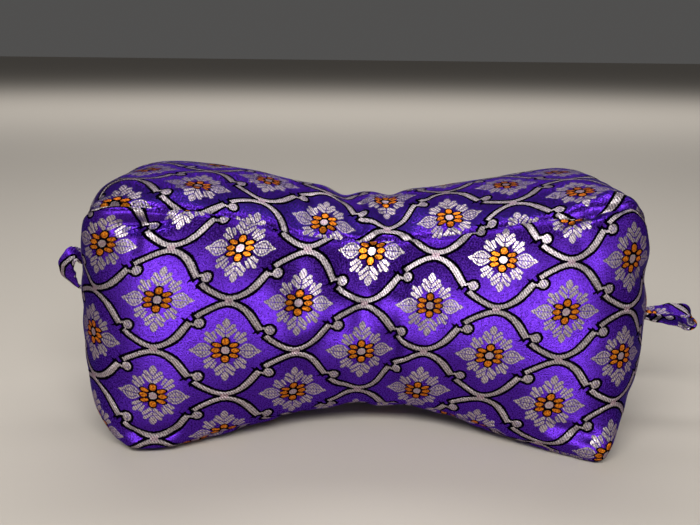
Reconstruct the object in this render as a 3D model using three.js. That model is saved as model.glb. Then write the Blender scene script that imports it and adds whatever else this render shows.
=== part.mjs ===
// A bone-shaped neck pillow, lying on its bottom panel, with a folded cloth loop at each end.
// Millimetres, +Z up. X runs along the pillow, -Y is the front panel, and z = 0 is the surface it lies on.
// The origin is under the middle of the object's box.
import * as THREE from "three";

// Driving dimensions.
const SECTIONS = [
  // One row for each section across the pillow. at is the share of the way from the middle to an end,
  // seamTop and seamLow are the heights of the two front seams, deepTop and deepLow are how far the upper
  // and lower seams stand from the middle plane, and round goes from 0, a padded square, to 1, a circle.
  { at: -1.0, seamTop: 140, deepTop: 72, seamLow: 2, deepLow: 80, round: 0 },
  { at: -0.78, seamTop: 139, deepTop: 74, seamLow: 1, deepLow: 83, round: 0 },
  { at: -0.52, seamTop: 133, deepTop: 66, seamLow: 3, deepLow: 68, round: 0.22 },
  { at: -0.26, seamTop: 120, deepTop: 53, seamLow: 9, deepLow: 50, round: 0.72 },
  { at: 0.0, seamTop: 114, deepTop: 47.5, seamLow: 12.5, deepLow: 42, round: 1 },
  { at: 0.26, seamTop: 118, deepTop: 51.5, seamLow: 12, deepLow: 48, round: 0.72 },
  { at: 0.52, seamTop: 128, deepTop: 63, seamLow: 4, deepLow: 63, round: 0.24 },
  { at: 0.78, seamTop: 136, deepTop: 72, seamLow: 1, deepLow: 82, round: 0 },
  { at: 1.0, seamTop: 140, deepTop: 71, seamLow: 2, deepLow: 90, round: 0 },
];
const REACH_TOP = { left: 147, right: 147 }; // from the middle to an upper corner
const REACH_LOW = { left: 147, right: 136 }; // the same, to a lower corner
const DOME = { left: 21, right: 27 }; // how far the filling pushes an end face out past its corners
const LOOP_ROOT_HEIGHT = { left: 78, right: 60 }; // where the four panel points meet
const END_SQUARENESS = 16; // exponent of the round between the long sides and an end face
const SIDE_CROWN = 9; // bulge of the front and back panels at a lobe
const TOP_CROWN = 9;
const LOW_CROWN = 5; // pressed flat again where the pillow lies on it
const CROWN_AT_END = 0.35; // share of the crown that is left at the corners
const CIRCLE_CROWN = Math.SQRT2 - 1; // bulge of a quarter circle over its half chord

const TUCKS = [
  // Where spare cloth folds in at the front and back upper corners: a soft trough along the seam.
  { x: -120, side: -1, reach: 17, wide: 7, deep: 5 },
  { x: 120, side: -1, reach: 18, wide: 6, deep: 4 },
];

const STRIP_WIDTH = 12;
const STRIP_THICK = 2.4;
const GAP = 0.6; // between a loop's sewn end and the middle of the end face

const COVER_COLOUR = "#4a17a8";
const LOOP_COLOUR = "#3c1290";
const CLOTH_ROUGHNESS = 0.42;
const CLOTH_METALNESS = 0.15;

// Fineness of the faceted solids.
const STATIONS = 60;
const PROFILE_STEPS = 2000;
const STEPS_PER_PANEL = 14;
const PANELS = 4;
const LOOP_STEPS = 34;

// The value of one column of the sections table at any share, eased between rows without overshoot.
function column(name, share) {
  const last = SECTIONS.length - 1;
  let row = 0;
  while (row < last - 1 && share > SECTIONS[row + 1].at) row += 1;
  const a = SECTIONS[row];
  const b = SECTIONS[row + 1];
  const span = b.at - a.at;
  const slope = (i) => {
    if (i <= 0 || i >= last) return 0;
    const before = (SECTIONS[i][name] - SECTIONS[i - 1][name]) / (SECTIONS[i].at - SECTIONS[i - 1].at);
    const after = (SECTIONS[i + 1][name] - SECTIONS[i][name]) / (SECTIONS[i + 1].at - SECTIONS[i].at);
    return before * after <= 0 ? 0 : (2 * before * after) / (before + after);
  };
  const f = THREE.MathUtils.clamp((share - a.at) / span, 0, 1);
  const f2 = f * f;
  const f3 = f2 * f;
  const start = (2 * f3 - 3 * f2 + 1) * a[name] + (f3 - 2 * f2 + f) * span * slope(row);
  const finish = (-2 * f3 + 3 * f2) * b[name] + (f3 - f2) * span * slope(row + 1);
  return start + finish;
}

// The crown of a panel: what a padded square has, moving to a quarter circle at the waist.
function crown(lobeCrown, halfChord, round) {
  return THREE.MathUtils.lerp(lobeCrown, CIRCLE_CROWN * halfChord, round);
}

// The middle of an end face, where the four panel points meet, from the middle of the pillow.
function endReach(end) {
  return (REACH_TOP[end] + REACH_LOW[end]) / 2 + DOME[end];
}

// Stations from one end's middle to the other's, evenly spaced over the cloth. Each has its share of the
// way along, from -1 to 1, and the size of its section, which closes to nothing in the middle of an end face.
function stations() {
  const fine = [];
  let length = 0;
  for (let step = 0; step <= PROFILE_STEPS; step += 1) {
    const angle = (Math.PI * step) / PROFILE_STEPS;
    const along = -Math.cos(angle);
    const out = Math.sin(angle);
    const round = (Math.abs(along) ** END_SQUARENESS + out ** END_SQUARENESS) ** (-1 / END_SQUARENESS);
    const here = { share: along * round, size: out * round, length: 0 };
    if (step > 0) {
      const before = fine[step - 1];
      length += Math.hypot(
        (here.share - before.share) * REACH_TOP.left,
        (here.size - before.size) * SECTIONS[0].deepTop,
      );
    }
    here.length = length;
    fine.push(here);
  }
  const even = [];
  for (let station = 1; station < STATIONS; station += 1) {
    const wanted = (length * station) / STATIONS;
    const after = fine.findIndex((point) => point.length >= wanted);
    const a = fine[after - 1];
    const b = fine[after];
    const f = (wanted - a.length) / (b.length - a.length);
    even.push({
      share: THREE.MathUtils.lerp(a.share, b.share, f),
      size: THREE.MathUtils.lerp(a.size, b.size, f),
    });
  }
  return even;
}

// A point on the cover at a station. across goes from -1 to 1 over a panel.
function coverPoint({ share, size }, panel, across) {
  const end = share < 0 ? "left" : "right";
  const away = Math.abs(share);
  const deepTop = column("deepTop", share);
  const deepLow = column("deepLow", share);
  const top = column("seamTop", share);
  const low = column("seamLow", share);
  const round = column("round", share);
  const middle = (top + low) / 2;
  const halfHeight = (top - low) / 2;
  const halfDepth = (deepTop + deepLow) / 2;
  const arch = (1 - across * across) * (1 - (1 - CROWN_AT_END) * away ** 6);
  const front = panel === 0 || panel === 3 ? -1 : 1;
  const upright = panel === 0 || panel === 2;
  let z;
  if (upright) {
    z = -front * halfHeight * across;
  } else if (panel === 1) {
    z = halfHeight + crown(TOP_CROWN, halfDepth, round) * arch;
  } else {
    z = -halfHeight - LOW_CROWN * arch;
  }
  const rise = (THREE.MathUtils.clamp(z / halfHeight, -1, 1) + 1) / 2;
  const deep = THREE.MathUtils.lerp(deepLow, deepTop, rise);
  const y = upright ? front * (deep + crown(SIDE_CROWN, halfHeight, round) * arch) : front * deep * across;
  const level = (1 + (2 * rise - 1) * size) / 2;
  const reach = THREE.MathUtils.lerp(REACH_LOW[end], REACH_TOP[end], level);
  const face = 1 - size * size;
  const point = new THREE.Vector3(
    Math.sign(share) * (reach * away + DOME[end] * face),
    y * size,
    middle + z * size + (LOOP_ROOT_HEIGHT[end] - middle) * face,
  );
  return tucked(point);
}

// Draws a point in where a corner tuck passes, and flattens the cloth on the surface it lies on.
function tucked(point) {
  for (const tuck of TUCKS) {
    const share = tuck.x / REACH_TOP.left;
    const dx = (point.x - tuck.x) / tuck.reach;
    const dz = (point.z - column("seamTop", share)) / tuck.wide;
    const dy = (point.y - tuck.side * column("deepTop", share)) / tuck.wide;
    const pull = tuck.deep * Math.exp(-(dx * dx) - (dy * dy + dz * dz) / 4);
    point.y -= tuck.side * pull;
    point.z -= pull / 2;
  }
  point.z = Math.max(0, point.z);
  return point;
}

// A closed surface from rings of points that run from one end point to the other.
function closedSurface(firstPoint, rings, lastPoint) {
  const around = rings[0].length;
  const points = [firstPoint, ...rings.flat(), lastPoint];
  const faces = [];
  const index = (ring, step) => 1 + ring * around + (step % around);
  for (let step = 0; step < around; step += 1) {
    faces.push(0, index(0, step), index(0, step + 1));
    for (let ring = 0; ring < rings.length - 1; ring += 1) {
      const a = index(ring, step);
      const b = index(ring, step + 1);
      const c = index(ring + 1, step);
      const d = index(ring + 1, step + 1);
      faces.push(a, c, b, b, c, d);
    }
    const last = rings.length - 1;
    faces.push(points.length - 1, index(last, step + 1), index(last, step));
  }
  const geometry = new THREE.BufferGeometry().setFromPoints(points);
  geometry.setIndex(faces);
  geometry.computeVertexNormals();
  return geometry;
}

function clothMaterial(colour) {
  return new THREE.MeshStandardMaterial({
    color: colour,
    roughness: CLOTH_ROUGHNESS,
    metalness: CLOTH_METALNESS,
  });
}

// The filled cover: four bow-tie panels sewn along four long seams, their points meeting at the ends.
function pillowBody() {
  const rings = [];
  for (const station of stations()) {
    const ring = [];
    for (let panel = 0; panel < PANELS; panel += 1) {
      for (let step = 0; step < STEPS_PER_PANEL; step += 1) {
        ring.push(coverPoint(station, panel, (2 * step) / STEPS_PER_PANEL - 1));
      }
    }
    rings.push(ring);
  }
  const tip = (end, sign) => new THREE.Vector3(sign * endReach(end), 0, LOOP_ROOT_HEIGHT[end]);
  const geometry = closedSurface(tip("left", -1), rings, tip("right", 1));
  const mesh = new THREE.Mesh(geometry, clothMaterial(COVER_COLOUR));
  mesh.name = "pillow_body";
  return mesh;
}

// A flat strip swept along a smooth route. across gives the strip's width direction along the route.
function strip(route, across) {
  const curve = new THREE.CatmullRomCurve3(route, false, "centripetal");
  const wide = new THREE.CatmullRomCurve3(across, false, "centripetal");
  const rings = [];
  for (let step = 0; step <= LOOP_STEPS; step += 1) {
    const share = step / LOOP_STEPS;
    const centre = curve.getPoint(share);
    const along = curve.getTangent(share);
    const width = wide.getPoint(share);
    width.addScaledVector(along, -width.dot(along)).normalize();
    const thick = new THREE.Vector3().crossVectors(along, width).normalize();
    rings.push(
      stripSection().map(([w, t]) => centre.clone().addScaledVector(width, w).addScaledVector(thick, t)),
    );
  }
  const first = curve.getPoint(0);
  const last = curve.getPoint(1);
  return closedSurface(first, rings, last);
}

// The section of a pressed strip: flat faces and half-round edges, as [across, through] pairs.
function stripSection() {
  const flat = STRIP_WIDTH / 2 - STRIP_THICK / 2;
  const points = [];
  for (const side of [1, -1]) {
    for (let step = 0; step <= 4; step += 1) {
      const angle = -Math.PI / 2 + (Math.PI * step) / 4;
      const w = side * (flat + (STRIP_THICK / 2) * Math.cos(angle));
      points.unshift([w, side * (STRIP_THICK / 2) * Math.sin(angle)]);
    }
  }
  return points;
}

// A loop from rows of its route. out is the distance from the cover along X, rise the height over the
// root, fore the distance towards the front, and lean the turn of the strip's width, in degrees, from
// facing front (0) to standing upright (90).
function loop(name, rows, end) {
  const sign = end === "left" ? -1 : 1;
  const root = endReach(end) + GAP;
  const route = rows.map(
    (row) => new THREE.Vector3(sign * (root + row.out), -row.fore, LOOP_ROOT_HEIGHT[end] + row.rise),
  );
  const across = rows.map((row) => {
    const turn = THREE.MathUtils.degToRad(row.lean);
    const swing = THREE.MathUtils.degToRad(row.swing);
    const level = Math.cos(turn);
    return new THREE.Vector3(-sign * Math.sin(swing) * level, -Math.cos(swing) * level, Math.sin(turn));
  });
  const mesh = new THREE.Mesh(strip(route, across), clothMaterial(LOOP_COLOUR));
  mesh.name = name;
  return mesh;
}

// The left loop is short and open, and turns towards the front.
const LEFT_LOOP = [
  { out: 0, rise: 1.8, fore: 0, lean: 0, swing: 0 },
  { out: 2, rise: 2, fore: 0, lean: 0, swing: 0 },
  { out: 5.2, rise: 10.8, fore: 2, lean: -8, swing: 5 },
  { out: 7.1, rise: 14.4, fore: 5, lean: -26, swing: 14 },
  { out: 8.7, rise: 16.7, fore: 8.5, lean: -37, swing: 33 },
  { out: 10.5, rise: 15.8, fore: 10.5, lean: -28, swing: 50 },
  { out: 12.7, rise: 12.2, fore: 10.5, lean: -17, swing: 64 },
  { out: 14.3, rise: 7.4, fore: 9, lean: -5, swing: 66 },
  { out: 14.3, rise: 2.3, fore: 6.5, lean: 8, swing: 56 },
  { out: 12.1, rise: -2.1, fore: 4, lean: 15, swing: 33 },
  { out: 8.7, rise: -6.2, fore: 2.5, lean: 10, swing: 12 },
  { out: 2, rise: -2, fore: 0, lean: 0, swing: 0 },
  { out: 0, rise: -1.8, fore: 0, lean: 0, swing: 0 },
];

// The right loop is pressed nearly shut, and droops at its fold, where a small eye stays open.
const RIGHT_LOOP = [
  { out: 0, rise: 1.8, fore: 0, lean: 0, swing: 0 },
  { out: 2, rise: 1.9, fore: 0, lean: 0, swing: 0 },
  { out: 9, rise: 0.6, fore: 1, lean: -6, swing: 0 },
  { out: 18, rise: 0.8, fore: 2, lean: -14, swing: 0 },
  { out: 27, rise: 1.2, fore: 3.2, lean: -22, swing: 0 },
  { out: 33.4, rise: 1.2, fore: 4, lean: -30, swing: 0 },
  { out: 36.4, rise: -2, fore: 4.2, lean: -28, swing: 0 },
  { out: 36.5, rise: -5.2, fore: 4.5, lean: -24, swing: 0 },
  { out: 33, rise: -6.6, fore: 4.5, lean: -20, swing: 0 },
  { out: 28, rise: -5.8, fore: 4, lean: -18, swing: 0 },
  { out: 21, rise: -4.8, fore: 2.5, lean: -14, swing: 0 },
  { out: 13, rise: -4.3, fore: 1.5, lean: -8, swing: 0 },
  { out: 6, rise: -3.2, fore: 0.6, lean: -2, swing: 0 },
  { out: 2, rise: -1.9, fore: 0, lean: 0, swing: 0 },
  { out: 0, rise: -1.8, fore: 0, lean: 0, swing: 0 },
];

const pillow = new THREE.Group();
pillow.name = "neck_pillow";
pillow.add(pillowBody());
pillow.add(loop("loop_left", LEFT_LOOP, "left"));
pillow.add(loop("loop_right", RIGHT_LOOP, "right"));

// Bring the origin under the middle of the whole object's box.
const box = new THREE.Box3().setFromObject(pillow, true);
const middle = box.getCenter(new THREE.Vector3());
pillow.position.set(-middle.x, -middle.y, 0);

export default pillow;
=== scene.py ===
import ast
import itertools
import math

import bpy
import numpy as np
from mathutils import Matrix, Vector


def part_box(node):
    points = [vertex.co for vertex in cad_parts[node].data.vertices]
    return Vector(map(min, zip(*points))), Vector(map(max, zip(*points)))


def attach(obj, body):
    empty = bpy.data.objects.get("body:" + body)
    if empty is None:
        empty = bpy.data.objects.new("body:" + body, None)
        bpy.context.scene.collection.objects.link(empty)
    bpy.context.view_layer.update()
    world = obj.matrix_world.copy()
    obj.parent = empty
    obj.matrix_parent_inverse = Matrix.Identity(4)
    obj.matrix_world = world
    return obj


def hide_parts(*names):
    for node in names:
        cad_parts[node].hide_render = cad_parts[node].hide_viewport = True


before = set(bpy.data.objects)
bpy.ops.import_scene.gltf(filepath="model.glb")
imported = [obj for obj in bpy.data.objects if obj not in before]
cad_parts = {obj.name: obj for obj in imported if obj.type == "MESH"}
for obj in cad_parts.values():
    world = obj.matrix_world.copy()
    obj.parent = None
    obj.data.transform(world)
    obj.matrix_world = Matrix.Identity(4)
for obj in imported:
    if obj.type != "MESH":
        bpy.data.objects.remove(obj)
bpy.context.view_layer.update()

MM = 0.001

# The flat pattern of one panel, in millimetres: a bow tie that flares from the waist to the lobes and has a
# right-angled point at each end. CELLS is how many mesh cells go across it.
WAIST_HALF = 52.6
LOBE_HALF = 73.5
CORNER_AT = 147.0
FLARE_ENDS_AT = 131.0
CLOTH_LENGTH = 2 * (CORNER_AT + LOBE_HALF)
CELLS = 36
PANELS = 4
FRONT, TOP, BACK, BOTTOM = range(PANELS)

# Filling: how uneven the empty cover is, in millimetres, and for how many frames the pressure works.
UNEVENNESS = 0.25
FILL_FRAMES = 30

# Rounds of evening out, first of the filled cloth and then of the way from it to the measured sections, and
# the share that each round takes from the neighbours.
SMOOTH_ROUNDS = 3
EASE_ROUNDS = 25
NEIGHBOUR_SHARE = 0.7

# A point nearer to a seam than SEAM_WITHIN, in millimetres, or past SEAM_ACROSS of the way to it, is on it.
SEAM_WITHIN = 0.1
SEAM_ACROSS = 0.99

# How many places a curve is drawn with before it is measured, and how much finer than its rings a route is.
CURVE_STEPS = 4001
ROUTE_FINER = 8

# The filled pillow, in millimetres from its middle. at is the share of the way from the middle to an end,
# seam_top and seam_low are the heights of the front seams, deep_top and deep_low how far they stand from the
# middle plane, and round goes from 0, a padded square, to 1, a circle. The panels' crowns keep their height
# for longer before they fall off at the ends, the higher CROWN_HELD is.
SECTION_COLUMNS = ("at", "seam_top", "deep_top", "seam_low", "deep_low", "round")
SECTIONS = [
    (-1.0, 140, 72, 2, 80, 0),
    (-0.78, 139, 74, 1, 83, 0),
    (-0.52, 133, 66, 3, 68, 0.22),
    (-0.26, 120, 53, 9, 50, 0.72),
    (0.0, 114, 47.5, 12.5, 42, 1),
    (0.26, 118, 51.5, 12, 48, 0.72),
    (0.52, 128, 63, 4, 63, 0.24),
    (0.78, 136, 72, 1, 82, 0),
    (1.0, 140, 71, 2, 90, 0),
]
LEFT, RIGHT = -1, 1
REACH_TOP = {LEFT: 147, RIGHT: 147}
REACH_LOW = {LEFT: 147, RIGHT: 136}
DOME = {LEFT: 21, RIGHT: 27}
ROOT_HEIGHT = {LEFT: 78, RIGHT: 60}
END_SQUARENESS = 16
SIDE_CROWN = 9
TOP_CROWN = 9
LOW_CROWN = 5
CROWN_AT_END = 0.35
CROWN_HELD = 6
CIRCLE_CROWN = math.sqrt(2) - 1

# Where the eight sewn corners stand: along, towards the back, up.
CORNERS = {
    (LEFT, FRONT, TOP): (-145, -72, 140),
    (RIGHT, FRONT, TOP): (146, -70, 139.5),
    (LEFT, FRONT, BOTTOM): (-139, -78, 2),
    (RIGHT, FRONT, BOTTOM): (131, -89, 2),
    (LEFT, BACK, TOP): (-144, 69, 137),
    (RIGHT, BACK, TOP): (143, 66, 136),
    (LEFT, BACK, BOTTOM): (-138, 80, 2),
    (RIGHT, BACK, BOTTOM): (134, 82, 2),
}
CORNER_REACH = 16
TOP_SEAMS_OVER = 70
ROUNDED_CORNERS = [key for key in CORNERS if key != (RIGHT, FRONT, BOTTOM)]
ROUNDING_REACH = 13
ROUNDING_ROUNDS = 40

# The folds that the cloth has fallen into, in millimetres from the pillow's middle: from, to, half the width,
# how far the cloth stands out there, which is below zero where it is drawn in, and how far it hangs down.
FOLDS = [
    # The top panel hangs over the front at the left corner, with a dark hollow under it.
    ((-137, -71, 140), (-109, -71, 139), 8, 4.4, 4.5),
    ((-127, -76, 128), (-106, -74, 130), 4, -6.5, 0),
    ((-120, -77, 129), (-121, -79, 116), 3, -2, 0),
    ((-104, -60, 141), (-92, -50, 142), 5, 1.6, 0),
    # A rounded ridge runs to the right corner, with a crease under it.
    ((112, -64, 138), (130, -62, 143), 5, 2.4, 0.5),
    ((130, -62, 143), (143, -66, 141), 4.5, 3, 0),
    ((104, -71, 130), (119, -70, 135), 3, -4, 0),
    ((119, -70, 135), (134, -70, 137), 2.8, -4, 0),
    ((112, -76, 122), (118, -78, 108), 5, -1.2, 0),
    # Both ends are puffed out between their top corners.
    ((-143, -40, 143), (-143, 35, 142), 20, 4, 0),
    ((141, -38, 142), (143, 35, 138), 20, 4.5, 0),
    # The bottom seam rolls under at the left corner and is nipped at the right one.
    ((-127, -82, 6), (-106, -79, 6), 4.5, 2.2, 0),
    ((-127, -84, 13), (-104, -82, 14), 3, -1.6, 0),
    ((100, -82, 12), (121, -88, 9), 4, 1.8, 0),
    ((104, -84, 20), (124, -90, 16), 3, -1.6, 0),
    # The front gathers at the waist.
    ((16.5, -62, 90), (17, -66, 44), 2.4, -1.5, 0),
    ((22, -62, 82), (23, -65, 30), 4.5, 1.3, 0),
    ((-14, -50, 113), (-12, -61, 90), 3, -1.2, 0),
    ((3, -48, 114), (5, -60, 92), 2.6, -1.3, 0),
    ((22, -50, 114), (25, -61, 96), 3, -1.1, 0),
    ((-36, -62, 100), (-34, -67, 62), 6, -1.1, 0),
    ((-50, -66, 90), (-47, -70, 40), 8, 1.2, 0),
    ((-8, -62, 66), (-11, -56, 28), 5, -1.2, 0),
    ((44, -66, 80), (42, -66, 34), 6, -1.1, 0),
    # The top does too.
    ((5, -10, 130), (4, -42, 118), 3.6, 1.3, 0),
    ((-3, -14, 130), (-3, -42, 118), 2.8, -1.1, 0),
    ((13, -12, 130), (13, -42, 118), 2.8, -1.1, 0),
    ((-31, -20, 134), (-29, -48, 121), 3, -1.2, 0),
    ((36, -18, 134), (38, -48, 122), 3, -1.1, 0),
]

# What the stitches do all round, in millimetres: each seam lies in a narrow valley, and the cloth beside it
# puckers. The puckers keep clear of the seam itself. They sway from their even pitch by so many radians, and
# drift is how far that takes.
VALLEY_DEPTH = 1.1
VALLEY_REACH = 1.5
PUCKER_PITCH = 9.5
PUCKER_REACH = 6
PUCKER_DEPTH = 0.22
PUCKER_CLEAR = 2
PUCKER_SWAY = 2
PUCKER_DRIFT = 17

# The gathers over the waist, where the cloth is drawn in. They sway likewise, and slant with the depth.
GATHER_PITCH = 33
GATHER_ALONG = 62
GATHER_ACROSS = 38
GATHER_DEPTH = 0.8
GATHER_CLEAR = 4
GATHER_SWAY = 1.3
GATHER_DRIFT = 19
GATHER_SLANT = 45

# The photograph's frame and the camera that fits it, in millimetres from the pillow's middle, and degrees.
PHOTO_WIDTH = 700
FOCAL_PIXELS = 821
SENSOR_WIDTH = 36
CAMERA_PLACE = (-8.5, -496.5, 214.4)
CAMERA_PITCH = 14.15
CAMERA_ROLL = 0.63

# The brocade's repeat and its parts, in millimetres of cloth. The real threads are about 0.2 mm apart, too
# fine to show, so they are drawn at nearly twice that.
REPEAT_WIDE = 71.5
REPEAT_HIGH = 55.0
LINK_HALF = 1.4
THREAD_WIDE = 0.36
THREAD_HIGH = 0.32

# How each panel is cut from the cloth, with the stretch and the lean that filling gives it. The first two are
# how far along the repeat each millimetre along the panel and across it goes, the next two how far up the
# repeat, and the last two say where its middle is from the middle of a flower, in millimetres.
CUT = {
    FRONT: (0.945, -0.053, 0.012, 0.98, 37.2, -18.6),
    TOP: (0.985, -0.03, 0.02, 0.88, 129.5, 67),
    BACK: (0.96, 0.03, -0.01, 0.98, 20, -6),
    BOTTOM: (0.96, 0.0, 0.03, 0.98, -14, 18),
}

# The front panel's weave is pulled askew. Along its upper edge the pull is to the right, and less so towards
# the right end, and in its upper right corner to the left, in millimetres of cloth from the panel's middle.
EDGE_PULL = 4
EDGE_PULL_REACH = 45
EDGE_PULL_ENDS_AT = 78
EDGE_PULL_FADE = 130
END_PULL = 5
END_PULL_FROM = 90
END_PULL_REACH = 50
END_PULL_RISE = 70

# The loops: a folded strip, and its routes. Each row says how far the middle of the strip is out from the end
# face, how far up from the root, how far towards the front, how far its width leans from level towards
# upright, and how far its width swings from facing front, in millimetres and degrees.
STRIP_WIDTH = 12
STRIP_THICK = 1.7
LOOP_GAP = 0.6
LOOP_RINGS = 110
FOLD_POINTS = 7
FACE_POINTS = 13
FACE_CROWN = 0.12
STITCHED_EDGE = 0.45
LEFT_LOOP = [
    (-3, 1.1, 0, 0, 0),
    (2, 1.5, 0, 0, 0),
    (5.2, 10.8, 2, -8, 5),
    (7.1, 14.4, 5, -26, 14),
    (8.7, 16.7, 8.5, -37, 33),
    (10.5, 15.8, 10.5, -28, 50),
    (12.7, 12.2, 10.5, -17, 64),
    (14.3, 7.4, 9, -5, 66),
    (14.3, 2.3, 6.5, 8, 56),
    (12.1, -2.1, 4, 15, 33),
    (8.7, -6.2, 2.5, 10, 12),
    (2, -1.6, 0, 0, 0),
    (-3, -1.1, 0, 0, 0),
]
RIGHT_LOOP = [
    (-3, 1.1, 0, 0, 0),
    (2, 1.5, 0, 0, 0),
    (9, 0.6, 1, -6, 0),
    (18, 0.8, 2, -14, 0),
    (27, 1.2, 3.2, -22, 0),
    (33.4, 1.2, 4, -30, 0),
    (36.4, -2, 4.2, -28, 0),
    (36.5, -5.2, 4.5, -24, 0),
    (33, -6.6, 4.5, -20, 0),
    (28, -5.8, 4, -18, 0),
    (21, -4.8, 2.5, -14, 0),
    (13, -4.3, 1.5, -8, 0),
    (6, -3.2, 0.6, -2, 0),
    (2, -1.6, 0, 0, 0),
    (-3, -1.1, 0, 0, 0),
]

# Where each strip is cut from the cloth, along and up the repeat in millimetres, and its turn in radians.
STRIP_CUT = {LEFT: (-6, -16.3, 0.1), RIGHT: (-8, 12, 1.5)}

# How uneven each strip is: by how much, in millimetres or for the swell as a share of the width, and the
# angle in radians that the wave goes through over the whole strip.
STRIP_RIPPLE = (0.35, 31)
STRIP_CREASE = (0.25, 53)
STRIP_SWELL = (0.05, 23)
STRIP_CUP = (0.9, 9)

# The light: where each lamp stands, where it points, its width and height in metres, and its power in watts.
ROOM_LIGHT = 0.12
LAMPS = {
    "window": ((-0.1, -0.95, 0.95), (0, 0, 0.1), 1.3, 0.45, 20),
    "overhead": ((0, 0.6, 1.1), (0, 0, 0.12), 1.3, 0.3, 6),
    "front": ((0.05, -1.5, 0.3), (0, 0, 0.08), 0.5, 0.4, 1.5),
    "far_floor": ((0, 2.6, 1.9), (0, 3.4, 0), 5, 1.5, 70),
}
FLOOR_HALF = 40

seeded = np.random.default_rng(7)


def end_reach(end):
    """How far the middle of an end face is from the pillow's middle."""
    return (REACH_TOP[end] + REACH_LOW[end]) / 2 + DOME[end]


# The pillow's middle is measured from the left end, because the two ends don't reach equally far.
PILLOW_MIDDLE = np.array([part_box("pillow_body")[0].x + end_reach(LEFT) * MM, 0, 0])


def linear(colour):
    """An sRGB hex colour as linear red, green, blue and alpha."""
    parts = [int(colour[i : i + 2], 16) / 255 for i in (1, 3, 5)]
    return [c / 12.92 if c <= 0.04045 else ((c + 0.055) / 1.055) ** 2.4 for c in parts] + [1.0]


def curve_through(at, values, slopes, where):
    """The smooth curve with these values and slopes at places along it, read at other places."""
    row = np.clip(np.searchsorted(at, where) - 1, 0, len(at) - 2)
    span = at[row + 1] - at[row]
    f = np.clip((where - at[row]) / span, 0, 1)
    start = (2 * f**3 - 3 * f**2 + 1) * values[..., row] + (f**3 - 2 * f**2 + f) * span * slopes[..., row]
    return start + (3 * f**2 - 2 * f**3) * values[..., row + 1] + (f**3 - f**2) * span * slopes[..., row + 1]


def column(name, share):
    """One column of the sections table at any shares, eased between the rows without overshoot."""
    rows = np.array(SECTIONS, float)
    at, values = rows[:, 0], rows[:, SECTION_COLUMNS.index(name)]
    rate = np.diff(values) / np.diff(at)
    slope = np.zeros(len(at))
    product = rate[:-1] * rate[1:]
    total = np.where(product > 0, rate[:-1] + rate[1:], 1.0)
    slope[1:-1] = np.where(product > 0, 2 * product / total, 0.0)
    return curve_through(at, values, slope, share)


def half_width(u):
    """Half the width of the flat panel at a distance u from its middle."""
    away = np.clip(np.abs(u) / FLARE_ENDS_AT, 0, 1)
    return WAIST_HALF + (LOBE_HALF - WAIST_HALF) * away**2 * (3 - 2 * away)


def bell(away, reach):
    """One where away is nothing, fading to nothing past the reach."""
    return np.exp(-((away / reach) ** 2))


def section_at(fraction):
    """Share and size of the section at a fraction of the way over the cloth from one end to the other."""
    angle = np.linspace(0, math.pi, CURVE_STEPS)
    along, out = -np.cos(angle), np.sin(angle)
    scale = (np.abs(along) ** END_SQUARENESS + out**END_SQUARENESS) ** (-1 / END_SQUARENESS)
    share, size = along * scale, out * scale
    steps = np.hypot(np.diff(share) * CORNER_AT, np.diff(size) * LOBE_HALF)
    length = np.concatenate([[0], np.cumsum(steps)])
    length /= length[-1]
    return np.interp(fraction, length, share), np.interp(fraction, length, size)


def by_end(values, end):
    """The left or the right value of a pair, for an array of ends."""
    return np.where(end < 0, values[LEFT], values[RIGHT])


def measured_cover(fraction, panel, across):
    """Where the photograph puts points of the cover, in millimetres from the pillow's middle."""
    share, size = section_at(fraction)
    end = np.where(share < 0, LEFT, RIGHT)
    top, low = column("seam_top", share), column("seam_low", share)
    deep_top, deep_low = column("deep_top", share), column("deep_low", share)
    round_ = column("round", share)
    middle, half, depth = (top + low) / 2, (top - low) / 2, (deep_top + deep_low) / 2
    arch = (1 - across**2) * (1 - (1 - CROWN_AT_END) * np.abs(share) ** CROWN_HELD)
    side_bulge = (SIDE_CROWN * (1 - round_) + CIRCLE_CROWN * half * round_) * arch
    top_bulge = (TOP_CROWN * (1 - round_) + CIRCLE_CROWN * depth * round_) * arch
    low_bulge = LOW_CROWN * arch
    upright = (panel == FRONT) | (panel == BACK)
    side = np.where((panel == FRONT) | (panel == BOTTOM), -1, 1)
    z = np.where(upright, -side * half * across, side * (half + np.where(side > 0, top_bulge, low_bulge)))
    rise = (np.clip(z / half, -1, 1) + 1) / 2
    deep = deep_low + (deep_top - deep_low) * rise
    y = np.where(upright, side * (deep + side_bulge), side * deep * across)
    face = 1 - size**2
    reach_low, reach_top = by_end(REACH_LOW, end), by_end(REACH_TOP, end)
    reach = reach_low + (reach_top - reach_low) * (1 + (2 * rise - 1) * size) / 2
    x = end * (reach * np.abs(share) + by_end(DOME, end) * face)
    return np.stack([x, y * size, middle + z * size + (by_end(ROOT_HEIGHT, end) - middle) * face], 1)


def end_panel(y, z):
    """The panel at a place on an end face, where the seams run from corner to corner."""
    if abs(y) >= abs(z):
        return FRONT if y < 0 else BACK
    return TOP if z > 0 else BOTTOM


def end_cell(end, a, b):
    """The faces in one cell of an end face: two of them where a seam runs through it."""
    quad = [(a, b), (a + 1, b), (a + 1, b + 1), (a, b + 1)]
    if end == LEFT:
        quad.reverse()
    if a == b:
        first = quad.index((a, b))
    elif a + b == CELLS - 1:
        first = quad.index((a + 1, b))
    else:
        return [quad]
    turned = quad[first:] + quad[:first]
    return [turned[:3], [turned[0], turned[2], turned[3]]]


def flat_place(panel, along, y, z):
    """The place on the flat panel of a place on the bone, from the panel's middle."""
    return {FRONT: (along, z), TOP: (along, y), BACK: (-along, z), BOTTOM: (along, -y)}[panel]


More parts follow.
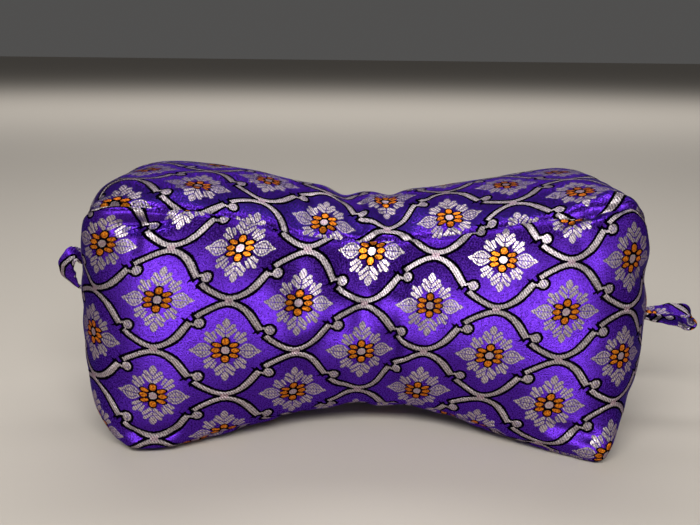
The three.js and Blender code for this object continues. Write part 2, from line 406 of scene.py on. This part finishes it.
def ring_place(r):
    """A point of the ring round the bone: its panel, its place across it, and its y and z in half widths."""
    corners = [(-1, -1), (-1, 1), (1, 1), (1, -1)]
    panel, i = divmod(r % (PANELS * CELLS), CELLS)
    (y0, z0), (y1, z1) = corners[panel], corners[(panel + 1) % PANELS]
    f = i / CELLS
    return panel, 2 * f - 1, y0 + (y1 - y0) * f, z0 + (z1 - z0) * f


def sewn_cover():
    """The four panels sewn together and stood up as a square bone, which bends no cloth. Returns the points,
    the faces with the panel of each, the flat place of each face corner, and for each point the fraction
    of the way from end to end, its panel and its place across the panel."""
    half = round(CORNER_AT / (2 * LOBE_HALF / CELLS))
    u = np.linspace(-CORNER_AT, CORNER_AT, 2 * half + 1)
    fine = np.linspace(-CORNER_AT, CORNER_AT, CURVE_STEPS)
    slope = np.gradient(half_width(fine), fine)
    x_fine = np.cumsum(np.sqrt(1 - slope**2)) * (fine[1] - fine[0])
    x = np.interp(u, fine, x_fine - x_fine[len(fine) // 2])
    width = half_width(u)
    around = PANELS * CELLS
    points, facts, faces, face_panels, flat = [], [], [], [], []
    known = {}

    def put(key, place, fact):
        """The number of a point, which is made where it isn't there yet."""
        if key not in known:
            known[key] = len(points)
            points.append(place)
            facts.append(fact)
        return known[key]

    for j in range(len(u)):
        for r in range(around):
            panel, across, y, z = ring_place(r)
            fact = ((u[j] + CLOTH_LENGTH / 2) / CLOTH_LENGTH, panel, across)
            put(("side", j, r), (x[j], y * width[j], z * width[j]), fact)
    for j in range(len(u) - 1):
        for r in range(around):
            panel = r // CELLS
            ring_corners = ((j, r), (j + 1, r), (j + 1, r + 1), (j, r + 1))
            faces.append([known["side", jj, rr % around] for jj, rr in ring_corners])
            face_panels.append(panel)
            for jj, rr in ring_corners:
                _, _, y, z = ring_place(rr)
                flat.append(flat_place(panel, u[jj], y * width[jj], z * width[jj]))
    rim = {}
    for r in range(around):
        _, _, y, z = ring_place(r)
        rim[round((y + 1) * CELLS / 2), round((z + 1) * CELLS / 2)] = r

    def end_point(end, a, b):
        """The number of a point of an end face, which shares its rim with the sides."""
        ring = 0 if end == LEFT else len(u) - 1
        if (a, b) in rim:
            return known["side", ring, rim[a, b]]
        y, z = 2 * a / CELLS - 1, 2 * b / CELLS - 1
        size = max(abs(y), abs(z), 1e-9)
        panel = end_panel(y, z)
        across = {FRONT: z, TOP: y, BACK: -z, BOTTOM: -y}[panel] / size
        fraction = size * LOBE_HALF / CLOTH_LENGTH
        fact = (fraction if end == LEFT else 1 - fraction, panel, across)
        return put(("end", end, a, b), (x[ring], y * LOBE_HALF, z * LOBE_HALF), fact)

    for end, a, b in itertools.product((LEFT, RIGHT), range(CELLS), range(CELLS)):
        for piece in end_cell(end, a, b):
            panel = end_panel(*(np.mean(piece, axis=0) * 2 / CELLS - 1))
            faces.append([end_point(end, *corner) for corner in piece])
            face_panels.append(panel)
            for y, z in (np.array(piece) * 2 / CELLS - 1) * LOBE_HALF:
                out = abs(y) if panel in (FRONT, BACK) else abs(z)
                flat.append(flat_place(panel, end * (CORNER_AT + LOBE_HALF - out), y, z))
    return np.array(points), faces, face_panels, np.array(flat), facts


def pattern_place(flat, corner_panels):
    """Turns flat places on the panels into places on the brocade's repeat."""
    out = np.empty_like(flat)
    for panel, (wide, lean, climb, high, shift_x, shift_y) in CUT.items():
        here = corner_panels == panel
        out[here, 0] = wide * flat[here, 0] + lean * flat[here, 1] + shift_x
        out[here, 1] = climb * flat[here, 0] + high * flat[here, 1] + shift_y
    front = corner_panels == FRONT
    u, v = flat[front].T
    up = np.maximum(v, 0) / EDGE_PULL_REACH
    out[front, 0] -= EDGE_PULL * up**2 * (EDGE_PULL_ENDS_AT - u) / EDGE_PULL_FADE
    right = np.maximum(u - END_PULL_FROM, 0) / END_PULL_REACH
    out[front, 0] += END_PULL * right**2 * (1 + v / END_PULL_RISE) / 2
    return out


def mesh_object(name, points, faces):
    """A new object in the scene, from its points and faces."""
    mesh = bpy.data.meshes.new(name)
    mesh.from_pydata([tuple(p) for p in points], [], faces)
    mesh.update()
    obj = bpy.data.objects.new(name, mesh)
    bpy.context.scene.collection.objects.link(obj)
    return obj


def places(mesh):
    """Where the mesh's points are."""
    out = np.empty(len(mesh.vertices) * 3)
    mesh.vertices.foreach_get("co", out)
    return out.reshape(-1, 3)


def settle(mesh, points):
    """Moves the mesh's points."""
    mesh.vertices.foreach_set("co", np.ascontiguousarray(points, dtype=np.float64).ravel())
    mesh.update()


def apply_modifier(obj, name):
    """Turns what a modifier does into the mesh itself."""
    bpy.context.view_layer.objects.active = obj
    with bpy.context.temp_override(object=obj, active_object=obj, selected_objects=[obj]):
        bpy.ops.object.modifier_apply(modifier=name)


def blow_up(obj):
    """Fills the cover: cloth with pressure inside, its seams drawn a little tighter than the cloth."""
    group = obj.vertex_groups.new(name="seams")
    seam = obj.data.attributes["seam"]
    tight = [i for i, value in enumerate(seam.data) if value.value < SEAM_WITHIN]
    group.add(tight, 1.0, "REPLACE")
    cloth = obj.modifiers.new("filling", "CLOTH")
    s = cloth.settings
    s.quality = 8
    s.mass = 0.05
    s.tension_stiffness = 20
    s.compression_stiffness = 20
    s.shear_stiffness = 15
    s.bending_stiffness = 0.12
    s.tension_damping = 5
    s.compression_damping = 5
    s.shear_damping = 5
    s.bending_damping = 0.5
    s.air_damping = 1
    s.use_pressure = True
    s.uniform_pressure_force = 12
    s.effector_weights.gravity = 0
    s.vertex_group_shrink = "seams"
    s.shrink_min = 0.0
    s.shrink_max = 0.05
    cloth.collision_settings.use_self_collision = False
    cloth.point_cache.frame_end = FILL_FRAMES + 5
    for step in range(1, FILL_FRAMES + 1):
        bpy.context.scene.frame_set(step)
    apply_modifier(obj, cloth.name)
    bpy.context.scene.frame_set(1)


def spread(values, edges, count, rounds):
    """Evens values out over the mesh, as heat spreads."""
    a, b = edges[:, 0], edges[:, 1]
    many = np.bincount(a, minlength=count) + np.bincount(b, minlength=count)
    many = np.maximum(many, 1)[:, None]
    for _ in range(rounds):
        near = np.zeros_like(values)
        for axis in range(values.shape[1]):
            near[:, axis] = np.bincount(a, values[b, axis], count) + np.bincount(b, values[a, axis], count)
        values = (1 - NEIGHBOUR_SHARE) * values + NEIGHBOUR_SHARE * near / many
    return values


def ease_corners(points, fraction, panel, across):
    """Brings the eight sewn corners to where they stand, with the cloth round them."""
    turn = CORNER_AT / CLOTH_LENGTH
    moved = points.copy()
    for (end, side, level), place in CORNERS.items():
        want = np.array(place, float)
        away = np.abs(fraction - 0.5 - end * turn)
        on_seam = (np.abs(across) > SEAM_ACROSS) & (np.sign(points[:, 1]) == (-1 if side == FRONT else 1))
        on_seam &= (points[:, 2] > TOP_SEAMS_OVER) == (level == TOP)
        corner = points[np.flatnonzero(on_seam)[np.argmin(away[on_seam])]]
        near = bell(np.linalg.norm(points - corner, axis=1), CORNER_REACH)
        moved += (want - corner) * near[:, None]
    return moved


def make_cover():
    """The cover: sewn, filled, eased onto its measured shape, and then laid in its seams and folds."""
    points, faces, face_panels, flat, facts = sewn_cover()
    fraction, panel, across = (np.array(fact) for fact in zip(*facts))
    empty = points + seeded.normal(0, UNEVENNESS, points.shape)
    obj = mesh_object("brocade_cover", empty * MM, faces)
    mesh = obj.data
    width = half_width((fraction - 0.5) * CLOTH_LENGTH)
    in_end = np.minimum(fraction, 1 - fraction) * CLOTH_LENGTH
    narrow = np.where(in_end < LOBE_HALF, in_end / math.sqrt(2), width)
    seam = mesh.attributes.new("seam", "FLOAT", "POINT")
    seam.data.foreach_set("value", np.ascontiguousarray((1 - np.abs(across)) * narrow))
    along = mesh.attributes.new("along", "FLOAT", "POINT")
    along.data.foreach_set("value", np.ascontiguousarray((fraction - 0.5) * CLOTH_LENGTH))
    corner_panels = np.repeat(face_panels, [len(f) for f in faces])
    cloth_map = mesh.uv_layers.new(name="cloth")
    cloth_map.data.foreach_set("uv", pattern_place(flat, corner_panels).ravel())
    shape = measured_cover(fraction, panel, across)
    blow_up(obj)
    filled = places(mesh) / MM
    edges = np.array([tuple(e.vertices) for e in mesh.edges])
    filled = spread(filled, edges, len(filled), SMOOTH_ROUNDS)
    shape = filled + spread(shape - filled, edges, len(filled), EASE_ROUNDS)
    shape = ease_corners(shape, fraction, panel, across)
    shape[:, 2] = np.maximum(shape[:, 2], 0)
    settle(mesh, shape * MM + PILLOW_MIDDLE)
    fine = obj.modifiers.new("fine", "SUBSURF")
    fine.levels = fine.render_levels = 1
    fine.uv_smooth = "NONE"
    apply_modifier(obj, fine.name)
    obj.vertex_groups.clear()
    lay_cloth(mesh)
    mesh.polygons.foreach_set("use_smooth", [True] * len(mesh.polygons))
    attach(obj, "root")
    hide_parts("pillow_body")
    return obj


def measure(mesh, name):
    """The values of one of the mesh's point attributes."""
    out = np.empty(len(mesh.vertices))
    mesh.attributes[name].data.foreach_get("value", out)
    return out


def rounded(points, edges):
    """Takes the spikes off the sewn corners, which filling rounds."""
    even = spread(points, edges, len(points), ROUNDING_ROUNDS)
    share = np.zeros(len(points))
    for key in ROUNDED_CORNERS:
        away = np.linalg.norm(points - np.array(CORNERS[key], float), axis=1)
        share = np.maximum(share, bell(away, ROUNDING_REACH))
    return points + (even - points) * share[:, None]


def lay_cloth(mesh):
    """Draws the cloth in along the seams, lays its folds and gathers, and keeps it off what it lies on."""
    points = (places(mesh) - PILLOW_MIDDLE) / MM
    points = rounded(points, np.array([tuple(e.vertices) for e in mesh.edges]))
    settle(mesh, points)
    normals = np.empty(len(points) * 3)
    mesh.vertices.foreach_get("normal", normals)
    normals = normals.reshape(-1, 3)
    seam, along = measure(mesh, "seam"), measure(mesh, "along")
    out = -VALLEY_DEPTH * bell(seam, VALLEY_REACH)
    sway = PUCKER_SWAY * np.sin(along / PUCKER_DRIFT)
    pucker = np.sin(along * 2 * math.pi / PUCKER_PITCH + sway)
    out += PUCKER_DEPTH * pucker * bell(seam, PUCKER_REACH) * (1 - bell(seam, PUCKER_CLEAR))
    sway = GATHER_SWAY * np.sin(seam / GATHER_DRIFT) + points[:, 1] / GATHER_SLANT
    gather = np.sin(along * 2 * math.pi / GATHER_PITCH + sway) * bell(along, GATHER_ALONG)
    out += GATHER_DEPTH * gather * bell(seam, GATHER_ACROSS) * (1 - bell(seam, GATHER_CLEAR))
    shift = normals * out[:, None]
    for start, end, reach, stand, hang in FOLDS:
        start, end = np.array(start, float), np.array(end, float)
        step = end - start
        t = np.clip((points - start) @ step / (step @ step), 0, 1)
        away = np.linalg.norm(points - start - t[:, None] * step, axis=1)
        shift += bell(away, reach)[:, None] * (normals * stand - [0, 0, hang])
    points += shift
    points[:, 2] = np.maximum(points[:, 2], 0)
    settle(mesh, points * MM + PILLOW_MIDDLE)


def smooth_route(rows, count):
    """Evenly spaced places along a smooth curve through the rows, with every column of them."""
    rows = np.array(rows, float)
    steps = np.linalg.norm(np.diff(rows[:, :3], axis=0), axis=1) ** 0.5
    knots = np.concatenate([[0], np.cumsum(steps)])
    slope = np.gradient(rows, knots, axis=0)
    fine = np.linspace(0, knots[-1], count * ROUTE_FINER)
    curve = curve_through(knots, rows.T, slope.T, fine)
    length = np.concatenate([[0], np.cumsum(np.linalg.norm(np.diff(curve[:3]), axis=0))])
    even = np.linspace(0, length[-1], count)
    return np.stack([np.interp(even, length, values) for values in curve], 1), length[-1]


def strip_section():
    """The section of the folded strip: layers pressed together, with a fold along one edge and the turned-in
    edges stitched along the other. Gives places across and through, and the way round, in millimetres."""
    thick = STRIP_THICK / 2
    wide = STRIP_WIDTH / 2 - thick
    angles = np.linspace(-math.pi / 2, math.pi / 2, FOLD_POINTS)
    flat = np.linspace(-1, 1, FACE_POINTS)[1:-1]
    crown = thick * (1 + FACE_CROWN * np.cos(flat * math.pi))
    pressed = np.cos(angles) * (1 - STITCHED_EDGE * np.cos(angles))
    fold = np.stack([wide + thick * np.cos(angles), thick * np.sin(angles)], 1)
    top = np.stack([-wide * flat, crown], 1)
    edge = np.stack([-wide - thick * pressed, -thick * np.sin(angles)], 1)
    low = np.stack([wide * flat, -crown], 1)
    ring = np.concatenate([fold, top, edge, low])
    sides = np.linalg.norm(np.roll(ring, -1, 0) - ring, axis=1)
    return ring, np.concatenate([[0], np.cumsum(sides)])


def uneven(share, size, start):
    """A strip's unevenness, of a size and an angle, at shares of the way along it."""
    return size[0] * np.sin(share * size[1] + start)


def make_loop(name, end, rows):
    """A folded strip of the brocade, its two ends caught in the middle of the end face, and its length."""
    count = LOOP_RINGS
    route, length = smooth_route(rows, count)
    ring, round_it = strip_section()
    root = np.array([end * (end_reach(end) + LOOP_GAP), 0, ROOT_HEIGHT[end]])
    centre = root + np.stack([end * route[:, 0], -route[:, 2], route[:, 1]], 1)
    along = np.gradient(centre, axis=0)
    along /= np.linalg.norm(along, axis=1)[:, None]
    lean, swing = np.radians(route[:, 3]), np.radians(route[:, 4])
    wide = np.stack([-end * np.sin(swing) * np.cos(lean), -np.cos(swing) * np.cos(lean), np.sin(lean)], 1)
    wide -= along * (wide * along).sum(1)[:, None]
    wide /= np.linalg.norm(wide, axis=1)[:, None]
    through = np.cross(along, wide)
    share = np.linspace(0, 1, count)
    ripple = uneven(share, STRIP_RIPPLE, end) + uneven(share, STRIP_CREASE, 0)
    swell = 1 + uneven(share, STRIP_SWELL, 1)
    points, faces, flat = [], [], []
    for k in range(count):
        for across, deep in ring:
            cup = uneven(share[k], STRIP_CUP, end) * (2 * across / STRIP_WIDTH) ** 2
            points.append(centre[k] + wide[k] * across * swell[k] + through[k] * (deep + ripple[k] + cup))
    around = len(ring)
    for k in range(count - 1):
        for r in range(around):
            n = (r + 1) % around
            faces.append([k * around + r, k * around + n, (k + 1) * around + n, (k + 1) * around + r])
            here, there = share[k] * length, share[k + 1] * length
            low, high = round_it[r], round_it[r + 1]
            flat += [(here, low), (here, high), (there, high), (there, low)]
    for first in (0, (count - 1) * around):
        points.append(np.mean(points[first : first + around], axis=0))
        for r in range(around):
            side = [first + r, first + (r + 1) % around, len(points) - 1]
            faces.append(side[::-1] if first == 0 else side)
            flat += [(0, round_it[r])] * 3
    obj = mesh_object(name, np.array(points) * MM + PILLOW_MIDDLE, faces)
    mesh = obj.data
    cloth_map = mesh.uv_layers.new(name="cloth")
    *start, turn = STRIP_CUT[end]
    turning = [[math.cos(turn), math.sin(turn)], [-math.sin(turn), math.cos(turn)]]
    cloth_map.data.foreach_set("uv", (np.array(flat) @ turning + start).ravel())
    mesh.polygons.foreach_set("use_smooth", [True] * len(mesh.polygons))
    return obj, length


# Materials

MATH_OPERATORS = {ast.Add: "ADD", ast.Sub: "SUBTRACT", ast.Mult: "MULTIPLY", ast.Div: "DIVIDE"}
MATH_FUNCTIONS = {
    "sin": "SINE", "exp": "EXPONENT", "abs": "ABSOLUTE", "floor": "FLOOR", "sqrt": "SQRT", "min": "MINIMUM",
    "max": "MAXIMUM", "less": "LESS_THAN", "more": "GREATER_THAN", "wrap": "WRAP", "snap": "SNAP",
    "power": "POWER", "held": "ADD",
}

# A mix node has several sockets of one name, so these are the numbers of those that mix colours.
MIX_SHARE, MIX_LOW, MIX_HIGH = 0, 6, 7
MIXED = 2


def add(tree, kind, *inputs, named=None, **settings):
    """Adds a node with its settings, and sets or links its inputs in order or by name."""
    node = tree.nodes.new(kind)
    for name, value in settings.items():
        setattr(node, name, value)
    for slot, value in [*zip(node.inputs, inputs), *((node.inputs[n], v) for n, v in (named or {}).items())]:
        if isinstance(value, bpy.types.NodeSocket):
            tree.links.new(value, slot)
        elif value is not None:
            slot.default_value = value
    return node


def formulas(tree, text, known):
    """Turns lines such as a = b * sin(c) into nodes, and adds each name to what is known."""
    made = {}

    def build(part):
        """The socket or the number that a part of a formula gives. Each node is made only once."""
        if isinstance(part, ast.Constant):
            return float(part.value)
        if isinstance(part, ast.Name):
            return known[part.id]
        if isinstance(part, ast.BinOp):
            operation, sides, held = MATH_OPERATORS[type(part.op)], (part.left, part.right), False
        elif part.func.id == "length":
            a, b = (ast.BinOp(side, ast.Mult(), side) for side in part.args)
            operation, sides, held = "SQRT", (ast.BinOp(a, ast.Add(), b),), False
        else:
            held = part.func.id == "held"
            operation, sides = MATH_FUNCTIONS[part.func.id], [*part.args, *[ast.Constant(0)] * held]
        inputs = [build(side) for side in sides]
        key = (operation, held, *[v if isinstance(v, (int, float)) else v.as_pointer() for v in inputs])
        if key not in made:
            node = add(tree, "ShaderNodeMath", *inputs, operation=operation, use_clamp=held)
            made[key] = node.outputs[0]
        return made[key]

    for line in ast.parse(text).body:
        known[line.targets[0].id] = build(line.value)
    return known


# The brocade, drawn in millimetres of cloth from the middle of a flower. Distances are below zero inside.
# The first lines step the drawing as the weave does, and find the nearest flower. The next find the quarter
# of the repeat with one crossing of the trellis in its middle, turned over where the trellis falls, and draw
# the trellis there, with its links, balls, spurs and thorns. Then come the flower's disc and petals, its side
# leaves and the split leaves between them, and last what is silver, dark or orange and how far it stands up.
# The hatching of the silver is drawn 1.2 mm apart, coarser than the real one, which is too fine to show.
BROCADE = """
px = snap(x, thread_wide) + thread_wide / 2
py = snap(y, thread_high) + thread_high / 2
ax = wrap(px, wide / 2, 0 - wide / 2)
ay = wrap(py, high / 2, 0 - high / 2)
bx = wrap(px - wide / 2, wide / 2, 0 - wide / 2)
by = wrap(py - high / 2, high / 2, 0 - high / 2)
second = more(abs(ax) * 2 / wide + abs(ay) * 2 / high, 1)
fx = ax + second * (bx - ax)
fy = ay + second * (by - ay)

i = floor(px * 2 / wide)
j = floor(py * 2 / high)
rising = abs(wrap(i + j, 1, 0 - 1))
u = px - (i + 0.5) * wide / 2
v = (py - (j + 0.5) * high / 2) * (2 * rising - 1)

near = exp(0 - (u - 1.5) * (u - 1.5) / 42)
mid = sway * sin(u * turn) + 2.3 * near
steep = sway * turn * sin((u + wide / 4) * turn) - (u - 1.5) * near * 0.109
off = abs(v - mid) / sqrt(1 + steep * steep)
strip = off - 1.12 - 0.5 * exp(0 - (u + 4.5) * (u + 4.5) / 22)
run = (u + v) * 0.707
below = max(strip, run - 0.5)
above = max(strip, 5.0 - run)
neck_t = held((u + 1.2) / 3.6)
neck = length(u + 1.2 - neck_t * 3.6, v - 1.0 + neck_t * 0.4) - 0.62
ball_at = length(u - 4.2, v - 1.5)
ball = ball_at - 2.45
line = min(min(below, above), min(neck, ball))
curl = max(abs(ball_at - 1.15) - 0.2, 3.6 - u)
spur_t = held((0 - 1.6 - u) / 2.8)
spur = length(u + 1.6 + spur_t * 2.8, v - 1.6 - spur_t * 2.4) - 1.5 + 1.15 * spur_t
thorn_t = held((v - 5.0) / 2.4)
thorn = length(u - 1.6 + thorn_t * 1.2, v - 5.0 - thorn_t * 2.4) - 1.4 + 1.1 * thorn_t
link_x = wide / 4 - abs(u)
link = max(link_x - 2.0, high / 4 - abs(v) - 1.2)

p = abs(fx)
q = abs(fy)
disc = (length(fx / 2.1, fy / 2.1) - 1) * 2
petal_up = (length(p / 1.75, (q - 4.95) / 1.85) - 1) * 1.8
petal_side = (power(abs(p - 4.95) / 2.1, 1.5) + power(q / 1.4, 1.5) - 1) * 1.3
lean_m = (p - 4.25) * 0.978 + (q - 3.0) * 0.208
lean_n = (q - 3.0) * 0.978 - (p - 4.25) * 0.208
petal_slant = (length(lean_m / 2.15, lean_n / 1.05) - 1) * 1.5
petal_low = min(petal_up, petal_side)
petal_high = max(petal_up, petal_side)
petal = min(petal_low, petal_slant)
petal_next = max(petal_low, min(petal_high, petal_slant))
heart = min(petal, disc)

side_body = (power(abs(p - 11.5) / 5.1, 1.55) + power(q / 4.3, 1.5) - 1) * 2.6
side_tip = (abs(p - 16.6) / 2.1 + q / 1.3 - 1) * 1.1
side_leaf = min(side_body, side_tip)
bud = (power(p / 2.0, 1.5) + power(abs(q - 15.2) / 2.8, 1.5) - 1) * 1.6
rise_t = held(((p - 0.6) * 3.2 + (q - 10.6) * 3.0) / 19.2)
arm_high = length(p - 0.6 - rise_t * 3.2, q - 10.6 - rise_t * 3.0) - 1.15
drop_t = held(((p - 0.6) * 3.7 + (q - 8.1) * 3.3) / 24.6)
arm_low = length(p - 0.6 - drop_t * 3.7, q - 8.1 - drop_t * 3.3) - 1.2
arm = min(arm_high, arm_low)
up_leaf = min(bud, arm)
up_gap = min(max(bud, arm), max(arm_high, arm_low)) - up_leaf
wing_t = held(((p - 5.0) * 1.4 + (q - 6.7) * 3.1) / 11.6)
wing_up = length(p - 5.0 - wing_t * 1.4, q - 6.7 - wing_t * 3.1) - 0.95
wing_s = held(((p - 5.6) * 3.9 + (q - 6.2) * 3.3) / 26.1)
wing_mid = length(p - 5.6 - wing_s * 3.9, q - 6.2 - wing_s * 3.3) - 1.1
wing_r = held(((p - 7.2) * 2.9 + (q - 4.7) * 1.9) / 12.0)
wing_out = length(p - 7.2 - wing_r * 2.9, q - 4.7 - wing_r * 1.9) - 0.95
wing_low = min(wing_up, wing_mid)
wing = min(wing_low, wing_out)
wing_gap = max(wing_low, min(max(wing_up, wing_mid), wing_out)) - wing
leaf = min(side_leaf, min(up_leaf, wing))

in_line = less(line, 0) * (1 - less(curl, 0) * 0.6)
in_link = less(link, 0)
link_stripe = in_link * (0.5 + 0.5 * sin(x * 5)) * 0.7
dark_line = less(min(line - 1.4, min(spur, thorn)), 0) * (1 - less(line, 0)) * (1 - in_link)
in_disc = less(disc, 0)
in_petal = less(petal, 0) * more(petal_next - petal, 0.7) * (1 - less(disc, 0.7))
dark_heart = less(heart, 0.8) * (1 - in_disc) * (1 - in_petal)
split_arm = less(up_gap, 0.55) * less(arm, 0) + less(p, 0.28) * less(arm, 0.2)
split = split_arm + less(wing_gap, 0.5) * less(wing, 0)
rib = less(abs(side_body + 1.0), 0.25) * more(q, 0.9) + less(abs(q - 0.15), 0.16) * less(side_body, 0 - 0.3)
vein = less(side_body, 0 - 1.0) * more(sin(p * 4.0), 0.5)
barb = less(bud, 0 - 0.5) * more(abs(q - 14.6), 0.8)
cut = held(split + rib * 0.7 + vein * 0.5 + barb * 0.2)
in_leaf = less(leaf, 0) * (1 - less(heart, 0.85)) * (1 - cut)
dark = held(dark_line + dark_heart)
grey = held(in_line + in_link + in_leaf + in_disc)
hatch = sin(x * 4.3 + y * 2.9 + grain * 5) * (1 - in_disc)
round_line = held(0 - line * 0.7) * less(line, 0)
round_petal = held(0 - petal * 0.9) * in_petal
relief = round_line + round_petal + in_disc + in_leaf * 0.75 - dark * 0.35
"""


# How the threads vary, and how they catch the light. tilt is the lean of the ground's floats, as a slope:
# most lean up by 0.42, and those where the grain is over 0.57 lean down by 0.38.
SHEEN = """
fleck = held((grain - 0.5) * 3 + 0.5)
thread = held(0.55 + 0.25 * hatch + 1.6 * (grain - 0.5))
metal = 0.85 + 0.1 * held(grey + dark)
rough = 0.33 + 0.3 * dark + 0.12 * (grain - 0.5)
height = relief + 0.4 * (grain - 0.5) + 0.2 * grey * hatch
tilt = (0.42 - 0.8 * more(grain, 0.57)) * (1 - grey) * (1 - in_petal)
"""


def satin_brocade(name):
    """Woven satin brocade. The ground is violet silk satin, whose floats lean, most of them one way and the
    rest the other. So it flashes where the silver on it is dull, and is dark where the silver shines. The
    near-black outlines lean with it, and the silver weft and the orange beads lie level."""
    material = bpy.data.materials.new(name)
    material.use_nodes = True
    tree = material.node_tree
    tree.nodes.clear()
    place = add(tree, "ShaderNodeUVMap", uv_map="cloth").outputs[0]
    split = add(tree, "ShaderNodeSeparateXYZ", place)
    grain = add(tree, "ShaderNodeTexNoise", place, named={"Scale": 1.1, "Detail": 2.0, "Roughness": 0.7},
                noise_dimensions="2D").outputs[0]
    made = formulas(tree, BROCADE, {
        "x": split.outputs[0], "y": split.outputs[1], "grain": grain,
        "wide": REPEAT_WIDE, "high": REPEAT_HIGH, "thread_wide": THREAD_WIDE, "thread_high": THREAD_HIGH,
        "turn": 2 * math.pi / REPEAT_WIDE, "sway": REPEAT_HIGH / 4 - LINK_HALF,
    })
    formulas(tree, SHEEN, made)
    # Each colour is mixed from two others, by the share of the second one.
    colours = {
        "ground": ("fleck", "#2c0c60", "#6230c0"),
        "silver": ("thread", "#4a3850", "#ecdfe0"),
        "gold": ("fleck", "#a03a10", "#ffa02a"),
        "striped": ("link_stripe", "silver", "#b9849a"),
        "woven": ("grey", "ground", "striped"),
        "outlined": ("dark", "woven", "#04020a"),
        "whole": ("in_petal", "outlined", "gold"),
    }
    mixed = {}
    for colour, (share, *sides) in colours.items():
        low, high = (linear(side) if side.startswith("#") else mixed[side] for side in sides)
        sockets = {MIX_SHARE: made[share], MIX_LOW: low, MIX_HIGH: high}
        mix = add(tree, "ShaderNodeMix", named=sockets, data_type="RGBA")
        mixed[colour] = mix.outputs[MIXED]
    along = add(tree, "ShaderNodeTangent", direction_type="UV_MAP", uv_map="cloth").outputs[0]
    faces = add(tree, "ShaderNodeNewGeometry").outputs["Normal"]
    upwards = add(tree, "ShaderNodeVectorMath", faces, along, operation="CROSS_PRODUCT").outputs[0]
    lean = add(tree, "ShaderNodeVectorMath", upwards, named={"Scale": made["tilt"]}, operation="SCALE")
    tilted = add(tree, "ShaderNodeVectorMath", faces, lean.outputs[0], operation="ADD").outputs[0]
    lying = add(tree, "ShaderNodeVectorMath", tilted, operation="NORMALIZE").outputs[0]
    bump = add(tree, "ShaderNodeBump", named={"Strength": 0.7, "Distance": 0.0006, "Height": made["height"],
                                              "Normal": lying}).outputs[0]
    surface = add(tree, "ShaderNodeBsdfPrincipled", named={
        "Base Color": mixed["whole"], "Metallic": made["metal"], "Roughness": made["rough"], "IOR": 1.54,
        "Specular Tint": linear("#5c2480"), "Anisotropic": 0.5, "Tangent": along, "Normal": bump,
    })
    add(tree, "ShaderNodeOutputMaterial", surface.outputs[0])
    return material


def pale_floor():
    """A plain matt floor, far larger than the view."""
    corners = [(FLOOR_HALF * x, FLOOR_HALF * y, 0) for x, y in ((-1, -1), (1, -1), (1, 1), (-1, 1))]
    obj = mesh_object("floor", corners, [(0, 1, 2, 3)])
    material = bpy.data.materials.new("pale_floor")
    material.use_nodes = True
    surface = material.node_tree.nodes["Principled BSDF"]
    surface.inputs["Base Color"].default_value = linear("#bdb5aa")
    surface.inputs["Roughness"].default_value = 0.7
    obj.data.materials.append(material)


def soft_lamp(name, place, aim, wide, high, power):
    """A lamp with a broad face, as a window or a lit wall has."""
    lamp = bpy.data.lights.new(name, "AREA")
    lamp.shape = "RECTANGLE"
    lamp.size, lamp.size_y = wide, high
    lamp.energy = power
    obj = bpy.data.objects.new(name, lamp)
    obj.location = place
    obj.rotation_euler = (Vector(aim) - Vector(place)).to_track_quat("-Z", "Y").to_euler()
    bpy.context.scene.collection.objects.link(obj)


def studio():
    """The floor, the room's even light and the lamps."""
    pale_floor()
    world = bpy.data.worlds.new("studio")
    bpy.context.scene.world = world
    world.use_nodes = True
    background = world.node_tree.nodes["Background"]
    background.inputs["Color"].default_value = linear("#d6d4d2")
    background.inputs["Strength"].default_value = ROOM_LIGHT
    for name, lamp in LAMPS.items():
        soft_lamp(name, *lamp)
    bpy.context.scene.view_settings.view_transform = "Standard"


def make_camera():
    """The camera that sees the pillow as the photograph does."""
    camera = bpy.data.cameras.new("camera")
    camera.sensor_width = SENSOR_WIDTH
    camera.lens = FOCAL_PIXELS / PHOTO_WIDTH * SENSOR_WIDTH
    obj = bpy.data.objects.new("camera", camera)
    bpy.context.scene.collection.objects.link(obj)
    pitch = Matrix.Rotation(math.radians(90 - CAMERA_PITCH), 4, "X")
    roll = Matrix.Rotation(math.radians(CAMERA_ROLL), 4, "Z")
    obj.matrix_world = Matrix.Translation(Vector(CAMERA_PLACE) * MM + Vector(PILLOW_MIDDLE)) @ pitch @ roll
    bpy.context.scene.camera = obj


make_camera()
studio()
cover = make_cover()
brocade = satin_brocade("woven satin brocade")
cover.data.materials.append(brocade)
for end, rows, node in ((LEFT, LEFT_LOOP, "loop_left"), (RIGHT, RIGHT_LOOP, "loop_right")):
    loop, length = make_loop("folded_" + node, end, rows)
    loop.data.materials.append(brocade)
    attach(loop, "root")
    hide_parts(node)
